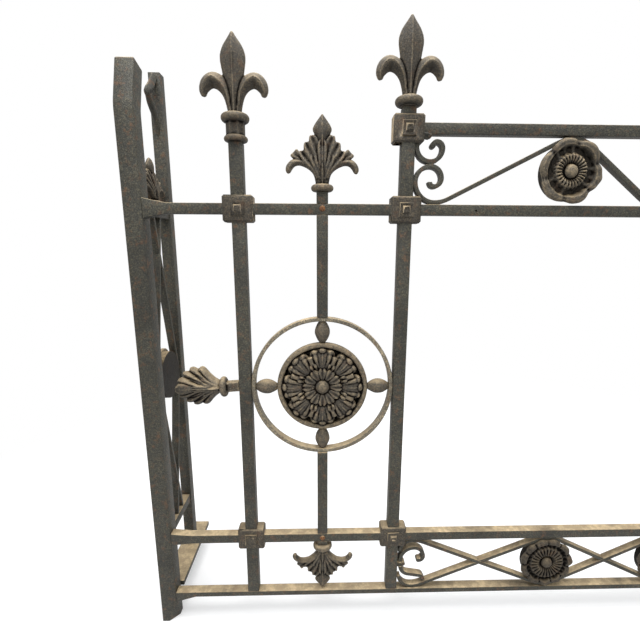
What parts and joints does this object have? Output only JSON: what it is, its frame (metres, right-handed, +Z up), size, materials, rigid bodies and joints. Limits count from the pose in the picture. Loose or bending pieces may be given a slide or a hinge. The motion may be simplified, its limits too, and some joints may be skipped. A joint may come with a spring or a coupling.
{
  "type": "balcony railing",
  "caption": "Shallow wrought iron balcony railing with an open centre bay, ringed medallions beside it, scroll friezes, cast leaf and spear finials and short returns to the wall.",
  "frame": {"origin": "centre of the underside of the left corner post's foot, seen from outside", "axes": "+X along the front to the other corner post, +Y from the front towards the wall, +Z up"},
  "size_m": [2.08, 0.2655, 1.2602],
  "materials": {
    "wrought_iron_bar": "weathered wrought iron bar, dark grey with pale rust dust on upward faces",
    "cast_iron_ornament": "weathered brown grey cast iron"
  },
  "bodies": {
    "root": {"bottom_rail": "wrought_iron_bar", "left_corner_post": "wrought_iron_bar", "left_inner_clamps": "cast_iron_ornament", "left_inner_fleur": "cast_iron_ornament", "left_inner_post": "wrought_iron_bar", "left_leaf_finial": "cast_iron_ornament", "left_low_rosette": "cast_iron_ornament", "left_medallion": "cast_iron_ornament", "left_middle_bar_low": "wrought_iron_bar", "left_middle_bar_top": "wrought_iron_bar", "left_outer_clamps": "cast_iron_ornament", "left_outer_fleur": "cast_iron_ornament", "left_outer_post": "wrought_iron_bar", "left_pendant_leaf": "cast_iron_ornament", "left_return_bottom_bar": "wrought_iron_bar", "left_return_leaf": "cast_iron_ornament", "left_return_lower_rail": "wrought_iron_bar", "left_return_rosette": "cast_iron_ornament", "left_return_upper_rail": "wrought_iron_bar", "left_return_wave_back": "wrought_iron_bar", "left_return_wave_front": "wrought_iron_bar", "left_ring": "wrought_iron_bar", "left_ring_beads": "cast_iron_ornament", "left_side_leaf": "cast_iron_ornament", "left_top_rosette": "cast_iron_ornament", "left_wall_post": "wrought_iron_bar", "lower_frieze_scrolls": "wrought_iron_bar", "lower_frieze_wave_a": "wrought_iron_bar", "lower_frieze_wave_b": "wrought_iron_bar", "lower_rail": "wrought_iron_bar", "right_corner_post": "wrought_iron_bar", "right_inner_clamps": "cast_iron_ornament", "right_inner_fleur": "cast_iron_ornament", "right_inner_post": "wrought_iron_bar", "right_leaf_finial": "cast_iron_ornament", "right_low_rosette": "cast_iron_ornament", "right_medallion": "cast_iron_ornament", "right_middle_bar_low": "wrought_iron_bar", "right_middle_bar_top": "wrought_iron_bar", "right_outer_clamps": "cast_iron_ornament", "right_outer_fleur": "cast_iron_ornament", "right_outer_post": "wrought_iron_bar", "right_pendant_leaf": "cast_iron_ornament", "right_return_bottom_bar": "wrought_iron_bar", "right_return_leaf": "cast_iron_ornament", "right_return_lower_rail": "wrought_iron_bar", "right_return_rosette": "cast_iron_ornament", "right_return_upper_rail": "wrought_iron_bar", "right_return_wave_back": "wrought_iron_bar", "right_return_wave_front": "wrought_iron_bar", "right_ring": "wrought_iron_bar", "right_ring_beads": "cast_iron_ornament", "right_side_leaf": "cast_iron_ornament", "right_top_rosette": "cast_iron_ornament", "right_wall_post": "wrought_iron_bar", "top_frieze_spirals": "wrought_iron_bar", "top_frieze_wave": "wrought_iron_bar", "top_rail": "wrought_iron_bar", "upper_rail": "wrought_iron_bar"}
  },
  "joints": []
}
